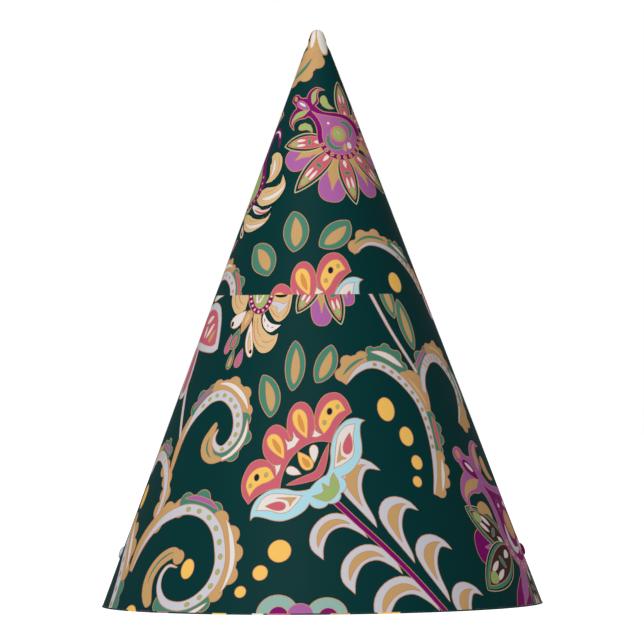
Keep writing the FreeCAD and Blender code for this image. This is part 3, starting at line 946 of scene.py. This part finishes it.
def feather_flower(sheet, spot):
    """A cup of cream feathers round a purple pearled ring, with small drops below."""
    plume(sheet, spot,
          [(-15.1, 8), (-15, 4), (-13.9, 1), (-11.4, -2), (-9.1, -2.7), (-6.3, -1)], [(-6.3, -1), (-5.4, 8)],
          [(-5.4, 8), (-15.1, 8)],
          veins=([(-13.2, 5), (-11.8, 1.4), (-9.2, -0.6)], [(-11.2, 5), (-9.6, 2), (-7.4, 1)]))
    plume(sheet, spot,
          [(2.3, 0), (3.9, -2.6), (6, -5), (8.2, -5.5), (10.3, -3.3), (11.2, 0), (10.9, 8)],
          [(10.9, 8), (3.4, 8)], [(3.4, 8), (2.3, 0)],
          veins=([(3.6, -0.4), (5.6, -2.8), (8, -4)], [(8.6, -3.8), (10, -1.4), (10.2, 4)]))
    sheet.paint(strokes(spot, [(3.6, 1.6), (6, 1.8), (8.4, 1.2), (10, 2.2), (8.8, -0.6), (6.8, -2.4),
                               (6.2, -0.2), (4.2, 0.4), (3.6, 1.6)]), "lavender", keyline=0.16)
    plume(sheet, spot,
          [(-2.8, -2), (-2.4, -5.7), (-1.8, -9.8), (-0.5, -13.3), (2.1, -16.4), (4.7, -17.1),
           (7.1, -15.7), (8.5, -12.6), (8.6, -9)],
          [(8.6, -9), (6.5, -10.2), (3.6, -8.8), (1.4, -5.4), (0.8, -2)], [(0.8, -2), (-2.8, -2)],
          veins=([(-1.6, -5), (-0.8, -10), (1.6, -13.8), (5, -15)], [(-0.6, -4), (0.2, -8.4), (2.6, -11.6)],
                 [(2.8, -12.4), (5, -13), (7.4, -11.6)]))
    plume(sheet, spot,
          [(1.4, -1.6), (1.2, -4.7), (2.5, -7.8), (5.3, -9.5), (7.6, -8.1), (9.4, -6.2)],
          [(9.4, -6.2), (6.2, -6.1), (3.9, -4.9), (1.4, -1.6)], ink="white",
          veins=([(2.2, -4.4), (2.6, -5.8)], [(3.6, -6.6), (4.4, -7.4)], [(5.4, -7.6), (6.4, -7.4)]),
          vein="rose")
    drop(sheet, Line(spot((-12, -6.6), (-9, -4.4), (-6, -1.4))), 4.6, "white")
    drop(sheet, Line(spot((-3.8, -1.4), (-5.4, -5.8), (-6.6, -9.8))), 3.6, "gold", "cream")
    drop(sheet, Line(spot((-0.7, -18.4), (-2.4, -12), (-2.9, -5))), 3.0, "white", "cream")
    sheet.paint(oval(spot, (-0.9, -16.4), 0.55, 0.8), "dark", keyline=0.12)
    sheet.paint(oval(spot, (-11.4, -5.8), 0.6, 1.0), "dark", keyline=0.12)
    for low, high, width, ink, core in (
        ((-12, -16.6), (-10.8, -9.6), 2.8, "mauve", "rose"),
        ((-9.6, -15.2), (-7.6, -7.8), 4.2, "green", "rose"),
        ((-9.6, -22.4), (-8.2, -15), 2.6, "green", "gold"),
        ((-5.9, -22), (-4.4, -15.2), 3.0, "mauve", "rose"),
    ):
        drop(sheet, Line(spot(low, high)), width, ink, core)
    sheet.paint(oval(spot, (-1.2, 4), 4.0, 5.4), "leaf_light")
    sheet.paint(ribbon(Line(spot((-3, 6), (-1.6, 1), (0.6, 5))), 1.0), "white", keyline=0.2)
    ring = Line(spot((-5.9, 6), (-4.6, 2), (-2.8, -0.8), (-0.7, -1.9), (1.2, -1.2), (2.9, 1.6), (3.4, 6)))
    sheet.paint(ribbon(ring, 2.1, taper=(0.1, 0.1)), "purple")
    pearls(sheet, ring, 0.12, 0.88, 9, 0.75, 0.95, "white")
    sheet.paint(oval(spot, (6.6, 4.8), 2.6, 1.5), "dark", keyline=0.1)


def side_bud(sheet, turn):
    """The mauve bud at the lower right edge, with its petals."""
    for base, tip, width in (((68, 19), (50, 21), 14), ((76, 13), (62, -5), 11), ((92, 10), (88, -6), 12)):
        round_petal(sheet, *flat_pair(turn, base, tip), width, "purple", "mauve")
    for base, tip, width in (((67, 20), (50.5, 34.5), 11), ((68, 20), (49.6, 6.6), 14),
                             ((80, 14), (76, -9), 12)):
        pointed_petal(sheet, *flat_pair(turn, base, tip), width, "dark", "green", "brown")
    bud_flower(sheet, Spot(79 + turn, 27.5, 0, 1.75), "mauve", "purple", "gold", "gold", "lavender")


def leaves(sheet, turn, *rows):
    """A leaf for each place (azimuth, height, tilt) with its length, width and lean."""
    for (azimuth, height, tilt), length, width, lean in rows:
        leaf(sheet, Spot(azimuth + turn, height, tilt), length, width, lean)


def draw_lower_half(sheet, turn):
    """One half of the lower print, about a facing azimuth."""
    leaves(sheet, turn, ((-22, 72.6, 17), 15.8, 7.4, -1.2), ((-11.5, 82.8, 0), 18, 6.8, -0.5),
           ((1.6, 83.4, -22), 14.6, 7.2, -0.8), ((39, 106, 8), 16, 5.4, 0), ((47, 96.4, 4), 18.5, 6.2, 0))
    for place, half_width, half_height in (((-12, 21), 3.9, 3.9), ((-17, 13.8), 2.6, 2.6),
                                           ((-22, 7.5), 2.0, 2.0), ((25.9, 67.8), 3.1, 4.2),
                                           ((32.4, 58.6), 2.6, 3.4), ((34.4, 49.8), 2.1, 2.5),
                                           ((32.9, 43.4), 1.7, 1.9), ((-40, 14.8), 2.7, 3.5),
                                           ((-59, -0.2), 3.4, 2.4)):
        dot(sheet, shifted(turn, place)[0], half_width, half_height)
    sickle_stem(sheet, turn)
    fan_flower(sheet, Spot(0.5 + turn, 42.2, 41, bend=0.0083))
    small_scroll(sheet, turn)
    left_arch(sheet, turn)
    large_scroll(sheet, turn)
    side_arch(sheet, turn)
    arch_scroll(sheet, turn)
    leaf_stem = route(*shifted(turn, (28, 108), (36.5, 94), (45.5, 80)))
    sheet.paint(ribbon(leaf_stem, 1.2, taper=(0, 0)), "lavender")
    pod_stem = route(*shifted(turn, (-79, 88), (-74, 76), (-62.5, 58)))
    sheet.paint(ribbon(pod_stem, 2.1, taper=(0, 0.2)), "lavender")
    round_pod(sheet, Spot(-72 + turn, 96))
    small_drop(sheet, *shifted(turn, (-80, 105.2), (-65, 107.0)), 2.6, "white")
    pod(sheet, *shifted(turn, (-80.5, 91), (-77.5, 71.5)), 9)
    pod(sheet, *shifted(turn, (85, 114), (83, 98)), 8)
    feather_flower(sheet, Spot(-32 + turn, 103))
    round_petal(sheet, *flat_pair(turn, (1, 114), (1, 96.2)), 7.2)
    round_petal(sheet, *flat_pair(turn, (12, 114), (15.5, 103)), 5.6)
    pointed_petal(sheet, *flat_pair(turn, (-1, 112), (-11.5, 100.6)), 6.4)
    pointed_petal(sheet, *flat_pair(turn, (5, 112), (10.5, 96.6)), 6.4)
    side_bud(sheet, turn)
    for place, half_width, half_height in (((-11.5, 0.2), 7.2, 6.8), ((1.2, 0.2), 6.8, 5.8)):
        spot = Spot(place[0] + turn, place[1])
        sheet.paint(oval(spot, (0, 0), half_width, half_height), "mint")
        sheet.paint(oval(spot, (0.4, -1), half_width * 0.48, half_height * 0.55), "purple", keyline=0.2)
    sheet.paint(oval(Spot(-5.6 + turn, 0), (0, 0), 4.4, 4.0), "mauve")


def draw_lower_print():
    sheet = Print()
    for turn in (-180, 180, 0):
        draw_lower_half(sheet, turn)
        corner_scroll(sheet, turn)
    return sheet


def upper_scroll(sheet, turn):
    """The arch at the right of the upper sheet, cut off by the joint."""
    line = route(*shifted(turn, (23, 120.6), (28.5, 122.8), (36, 124.2), (48, 123), (62, 118.6),
                          (73, 111.6), (77, 104)))
    fringe(sheet, line, 0.0, 0.4, 0.6, 5.0, 4, "gold")
    sheet.paint(ribbon(line, 1.1, 0.06, 0.36, 2.4, (0.6, 0.6)), "green", keyline=0.14)
    fringes(sheet, line, (0.38, 0.66, 1.0, 4.8, 4, "green", "white"),
            (0.66, 0.95, 0.8, 3.8, 4, "gold", "cream"))
    band(sheet, line, [0.6, 1.6, 2.0, 2.2, 2.2, 2.0], (0.2, 0.1),
         (0.52, 0.9, 7, 1.2, 0.8, "olive"))


def upper_left_scroll(sheet, turn):
    """The arch at the left of the upper sheet, above the joint."""
    line = route(*shifted(turn, (-98, 104), (-90, 110), (-80, 113.5), (-68, 113.4), (-58, 109.6), (-54, 103)))
    fringes(sheet, line, (0.2, 0.66, 1.2, 5.4, 5, "gold", "white"),
            (0.64, 0.98, 1.2, 5.0, 3, "green", "rose"))
    band(sheet, line, [1.6, 2.6, 3.2, 3.2, 3.0], (0.1, 0.1),
         (0.2, 0.95, 8, 1.4, 1.1, "gold"))


def petal_ring(sheet, spot):
    """The petals round the upper bud, round ones under pointed ones."""
    rounded = [((-7, -3), (-20.6, -8), 9), ((-3, -8), (-8, -24.6), 9.6), ((4, -7), (9.6, -22.6), 8.4),
               ((8, -2), (19, -8), 8), ((8, 5), (16, 11), 8)]
    pointed = [((-6, -2.6), (-20.4, 0), 6.8), ((-4, -6.4), (-19.6, -18.6), 6.8), ((-0.6, -8), (1.2, -26), 7),
               ((4, -7), (19, -19), 6.8), ((9, 0), (20, -2), 6), ((8, 5), (18, 12), 6),
               ((4, 5), (3.4, 19.6), 6.4)]
    for base, tip, width in rounded:
        round_petal(sheet, *spot(base, tip), width)
    for base, tip, width in pointed:
        pointed_petal(sheet, *spot(base, tip), width)


def upper_feathers(sheet, turn):
    """The feathered spray at the left edge of the upper sheet."""
    ground_leaf = route(*shifted(turn, (-74, 153), (-76, 146), (-78, 138), (-96, 132)))
    sheet.paint(ribbon(ground_leaf, 7, taper=(0.5, 0.3)), "leaf_light")
    for places, widths, ink in (
        (((-61, 155), (-52, 153.6), (-48.5, 150), (-51, 147), (-58, 145)), [3, 6.4, 6.6, 5.6, 2], "cream"),
        (((-66, 141), (-52, 140.6), (-42, 141.5), (-34.5, 144.5), (-37, 149.2)), [4, 7.4, 7, 4.4, 1],
         "cream"),
        (((-68, 137.6), (-55, 135.6), (-46, 135.6), (-38, 138.3)), [2, 3, 2, 0.6], "white"),
        (((-78, 134), (-62, 131), (-49, 131.5), (-42, 133.5), (-40, 136.5)), [4, 6, 5.5, 3.5, 1], "cream"),
    ):
        line = route(*shifted(turn, *places))
        sheet.paint(ribbon(line, widths, taper=(0.3, 0.6)), ink, "dark", 0.5)
        wide = max(widths)
        streak = "rose" if ink == "white" else "white"
        sheet.paint(ribbon(line, wide * 0.24, 0.2, 0.8, -wide * 0.1, (0.7, 0.9)), streak, keyline=0.16)
        sheet.paint(ribbon(line, 0.22, 0.22, 0.78, 0.24 * wide, (0.3, 0.6)), "salmon", keyline=0.06)
    small_drop(sheet, *shifted(turn, (-68, 126.8), (-76, 131)), 2.4, "white", "dark")
    small_drop(sheet, *shifted(turn, (-82, 122), (-76, 126)), 2.0, "mauve", "rose")
    line = route(*shifted(turn, (-52, 157.6), (-60, 162.6), (-74, 162.4), (-80, 158), (-74, 151.8),
                          (-66, 148), (-63, 144), (-66, 140.4), (-74, 137.9), (-86, 135)))
    sheet.paint(ribbon(line, [1.2, 3.2, 2.8, 2.4, 2.4, 2.4, 2.4, 2.2], taper=(0.4, 0.2)), "purple",
                "purple")
    sheet.paint(ribbon(line, 0.8, 0.08, 0.22, taper=(0.6, 0.8)), "white", keyline=0.1)
    pearls(sheet, line, 0.6, 0.96, 8, 0.7, 0.7, "cream")


def tip_leaf(sheet, turn):
    """The scalloped leaf that hangs from the point, with a white lobe on each side."""
    line = route(*shifted(turn, (-6, 195), (-22, 190), (-50, 184.8), (-90, 180.4)))
    stalk = route(*shifted(turn, (-4, 188.6), (10, APEX - 1.4)))
    sheet.paint(ribbon(stalk, 2.4, taper=(0.2, 0.6)), "gold")
    fringes(sheet, line, (0.0, 1.0, 0.6, 5.2, 4, "gold"),
            (0.0, 1.0, -0.6, -3.4, 4, "gold"))
    sheet.paint(ribbon(line, 1.5, 0.36, 0.96, 0.8, (0.7, 0.7)), "green", keyline=0.14)
    for azimuth, foot, width in ((-30, 191.8, 2.2), (32, 189.6, 3.6)):
        lobe = route(*shifted(turn, (azimuth, foot), (azimuth * 1.1, APEX - 1.4)))
        sheet.paint(ribbon(lobe, width, taper=(0.4, 0.6)), "white", "gold", 0.5)


def draw_upper_half(sheet, turn):
    """One half of the upper print, about a facing azimuth."""
    leaves(sheet, turn, ((-18.2, 128.4, 6), 14.8, 9.0, -0.9), ((10.8, 127.8, -50), 14.4, 8.6, -0.9),
           ((-39, 118.6, 40), 14, 9.6, -1.0))
    fan_flower(sheet, Spot(2.4 + turn, 91.2, 41, 0.95, bend=0.0083))
    dot(sheet, (48.5 + turn, 110.8), 2.9, 3.6)
    upper_left_scroll(sheet, turn)
    upper_scroll(sheet, turn)
    upper_feathers(sheet, turn)
    bud = Spot(29 + turn, 162)
    petal_ring(sheet, bud)
    bud_flower(sheet, bud, "purple", "mauve", "leaf_light", "leaf_light")
    tip_leaf(sheet, turn)


def draw_upper_print():
    sheet = Print()
    for turn in (-180, 180, 0):
        draw_upper_half(sheet, turn)
    return sheet


# ---------------------------------------------------------------- the sheets of card

def lap_lift(points):
    """How far the card is lifted at each point, where it rises over its own start at the back."""
    azimuth, height = unroll(points)
    fade = 1 - ease(height, *LAP_FADES)
    return LAP_RISE * ease(azimuth, LAP_LIFTS_FROM, LAP_LIFTED_BY) * fade


def card_inside(points):
    return lap_lift(points) - CARD


def arc_places(start, end, height, step):
    count = max(2, int(abs(end - start) / step) + 1)
    return flat(np.linspace(start, end, count), np.full(count, height))


def side_places(azimuths, heights):
    """Points up a side edge of a sheet, with corners at the given places."""
    levels = np.arange(heights[0], heights[-1], GRID_ROWS)
    levels = np.union1d(levels, heights)
    return flat(np.interp(levels, heights, azimuths), levels)


def slot_holes():
    """The two elastic slots as outlines on the flat sheet."""
    half_width, half_gap = SLOT_WIDTH / 2, SLOT_GAP / 2 / COS
    corners = [(-half_width, -half_gap), (half_width, -half_gap),
               (half_width, half_gap), (-half_width, half_gap)]
    return [Spot(side * SLOT_AZIMUTH, SLOT_HEIGHT)(*corners) for side in (-1, 1)]


def build_lower_panel(printing):
    left = side_places([-LAP_REACH, -LAP_REACH], [FOOT, JOINT])
    right = side_places([LAP_REACH, LAP_REACH], [FOOT, JOINT])
    outline = np.vstack([
        arc_places(-LAP_REACH, LAP_REACH, FOOT, 2.0)[:-1],
        right[:-1],
        arc_places(LAP_REACH, -LAP_REACH, JOINT, 3.0)[:-1],
        left[:0:-1],
    ])
    loose = grid_points(np.arange(FOOT + GRID_ROWS, JOINT - 1, GRID_ROWS), LAP_REACH)
    return build_sheet("lower_panel_card", printing, outline, slot_holes(), loose,
                       lap_lift, card_inside)


CROWN_SLANT = 0.3


def build_upper_panel(printing):
    crown = APEX - CROWN_SLANT * COS
    azimuths = [LAP_REACH, LAP_REACH, 180.0, 180.0]
    heights = [JOINT, LAP_FADES[0], LAP_FADES[1], crown]
    right = side_places(azimuths, heights)
    left = side_places([-azimuth for azimuth in azimuths], heights)
    outline = np.vstack([
        arc_places(-LAP_REACH, LAP_REACH, JOINT, 3.0)[:-1],
        right[:-1],
        arc_places(180.0, -180.0, crown, 20.0)[:-1],
        left[:0:-1],
    ])
    levels = np.concatenate([
        np.arange(JOINT + GRID_ROWS, TIP_CENTRE - 1, GRID_ROWS),
        np.arange(TIP_CENTRE, crown - 0.3, 0.6),
    ])
    loose = grid_points(levels, 180.0)
    return build_sheet("upper_panel_card", printing, outline, [], loose, lap_lift, card_inside)


# ---------------------------------------------------------------- the rim edging

EDGING = 0.15
EDGING_OUTSIDE = 0.5
EDGING_INSIDE = 8.0
EDGING_STEP = 3
EDGING_BITS = [(-60, -56, "yellow"), (-54, -50, "purple"), (-47, -43, "rose"), (-29, -25, "yellow"),
               (-18, -15, "white"), (-14, -8, "rose"), (-5, 0, "dark"), (2, 7, "gold"),
               (14, 20, "yellow")]


def edging_ink(azimuth):
    """The ink on the edging's outside, where short bits of other prints show; each half is alike."""
    facing = (azimuth + 90) % 180 - 90
    for start, end, ink in EDGING_BITS:
        if start <= facing < end:
            return ink
    return "ground"


def build_edging():
    """The strip folded round the rim: printed on its outer leg and its fold, plain inside."""
    corners = [(0, EDGING), (EDGING_OUTSIDE, EDGING), (EDGING_OUTSIDE, 0), (EDGING, 0),
               (EDGING, -CARD), (EDGING_INSIDE, -CARD), (EDGING_INSIDE, -CARD - EDGING),
               (0, -CARD - EDGING)]
    heights, lifts = np.array(corners, float).T
    radii = (APEX - heights) * SLOPE + lifts / COS
    changes = [turn + edge for bit in EDGING_BITS for edge in bit[:2] for turn in (0, 180)]
    stations = np.unique([*range(0, 360, EDGING_STEP), *np.mod(changes, 360)])
    turns = np.radians(stations)
    across, back = np.outer(np.sin(turns), radii), -np.outer(np.cos(turns), radii)
    places = np.stack([across, back, np.broadcast_to(heights, across.shape)], axis=-1).reshape(-1, 3)
    count = len(corners)
    faces, materials = [], []
    for station, azimuth in enumerate(stations):
        here, following = station * count, (station + 1) % len(stations) * count
        for corner in range(count):
            ahead = (corner + 1) % count
            faces.append((here + corner, following + corner, following + ahead, here + ahead))
            outside = corner in (0, count - 1)
            materials.append(PRINTED[edging_ink(azimuth)] if outside else CARD_BACK)
    mesh = bpy.data.meshes.new("rim_edging_strip")
    mesh.from_pydata((places * MM).tolist(), [], faces)
    slots = sorted(set(materials), key=lambda material: material.name)
    for material in slots:
        mesh.materials.append(material)
    mesh.polygons.foreach_set("material_index", [slots.index(material) for material in materials])
    strip = bpy.data.objects.new("rim_edging_strip", mesh)
    bpy.context.scene.collection.objects.link(strip)
    return strip


# ---------------------------------------------------------------- the whole hat

lower_print = draw_lower_print()
upper_print = draw_upper_print()
lower_card = build_lower_panel(lower_print)
upper_card = build_upper_panel(upper_print)
edging_strip = build_edging()
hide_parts("lower_panel")
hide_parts("upper_panel")
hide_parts("rim_edging")
for piece in (lower_card, upper_card, edging_strip):
    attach(piece, "root")


def give_material(node, material):
    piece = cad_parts[node]
    piece.data.materials.clear()
    piece.data.materials.append(material)


for node in ("joining_band", "left_slot_backing", "right_slot_backing"):
    give_material(node, CARD_BACK)
for node in ("band_tape_lower", "band_tape_upper", "lower_seam_tape", "upper_seam_tape"):
    give_material(node, TAPE_FILM)
give_material("left_slot_button", PRINTED["lavender"])
give_material("right_slot_button", PRINTED["purple"])


# ---------------------------------------------------------------- studio

FLOOR_SIZE = 6.0
WORLD_SEEN, WORLD_LIGHT = 1.0, 0.26
LAMP_DISTANCE, LAMP_ELEVATION, LAMP_SIZE = 2.0, 28.0, 0.9
KEY_AZIMUTH, KEY_POWER = -22.0, 29.0
REAR_AZIMUTH, REAR_POWER = 160.0, 22.0
CAMERA_HEIGHT = 0.0975
CAMERA_ASIDE = 0.00076
CAMERA_DISTANCE = 2.1
LENS = 339.8
CAMERA_ROLL = 0.52


def level_by_ray(tree, seen, otherwise):
    """A level for what the picture shows of the studio, and another for the light it gives."""
    path = tree.nodes.new("ShaderNodeLightPath")
    level = tree.nodes.new("ShaderNodeMapRange")
    level.inputs["To Min"].default_value = otherwise
    level.inputs["To Max"].default_value = seen
    tree.links.new(path.outputs["Is Camera Ray"], level.inputs["Value"])
    return level.outputs["Result"]


def add_floor():
    mesh = bpy.data.meshes.new("floor")
    half = FLOOR_SIZE / 2
    corners = [(-half, -half, 0), (half, -half, 0), (half, half, 0), (-half, half, 0)]
    mesh.from_pydata(corners, [], [(0, 1, 2, 3)])
    floor = bpy.data.objects.new("floor", mesh)
    bpy.context.scene.collection.objects.link(floor)
    paper = make_material("floor_paper", (160, 160, 160), 60.0, 0.05, (0.8, 0.9), 0.1)
    shader = paper.node_tree.nodes["Principled BSDF"]
    shader.inputs["Emission Color"].default_value = (1, 1, 1, 1)
    paper.node_tree.links.new(level_by_ray(paper.node_tree, 1.0, 0.0), shader.inputs["Emission Strength"])
    mesh.materials.append(paper)


def add_lamp(name, azimuth, power, glossy=True):
    """A soft round lamp, aimed at the middle of the hat from above an azimuth."""
    light = bpy.data.lights.new(name, "AREA")
    light.energy = power
    light.shape = "DISK"
    light.size = LAMP_SIZE
    turn, rise = math.radians(azimuth), math.radians(LAMP_ELEVATION)
    away = Vector((math.cos(rise) * math.sin(turn), -math.cos(rise) * math.cos(turn), math.sin(rise)))
    lamp = bpy.data.objects.new(name, light)
    lamp.location = away * LAMP_DISTANCE + Vector((0, 0, CAMERA_HEIGHT))
    lamp.rotation_euler = (-away).to_track_quat("-Z", "Y").to_euler()
    lamp.visible_glossy = glossy
    bpy.context.scene.collection.objects.link(lamp)


def add_world():
    world = bpy.data.worlds.new("studio")
    world.use_nodes = True
    background = world.node_tree.nodes["Background"]
    background.inputs["Color"].default_value = (1, 1, 1, 1)
    level = level_by_ray(world.node_tree, WORLD_SEEN, WORLD_LIGHT)
    world.node_tree.links.new(level, background.inputs["Strength"])
    bpy.context.scene.world = world


def add_camera():
    camera = bpy.data.cameras.new("camera")
    camera.lens = LENS
    camera.sensor_width = 36.0
    camera.clip_end = 50.0
    viewer = bpy.data.objects.new("camera", camera)
    viewer.location = (CAMERA_ASIDE, -CAMERA_DISTANCE, CAMERA_HEIGHT)
    viewer.rotation_euler = (math.pi / 2, math.radians(CAMERA_ROLL), 0)
    bpy.context.scene.collection.objects.link(viewer)
    bpy.context.scene.camera = viewer


add_floor()
add_world()
add_lamp("key", KEY_AZIMUTH, KEY_POWER)
add_lamp("rear", REAR_AZIMUTH, REAR_POWER, glossy=False)
add_camera()
bpy.context.scene.view_settings.view_transform = "Standard"
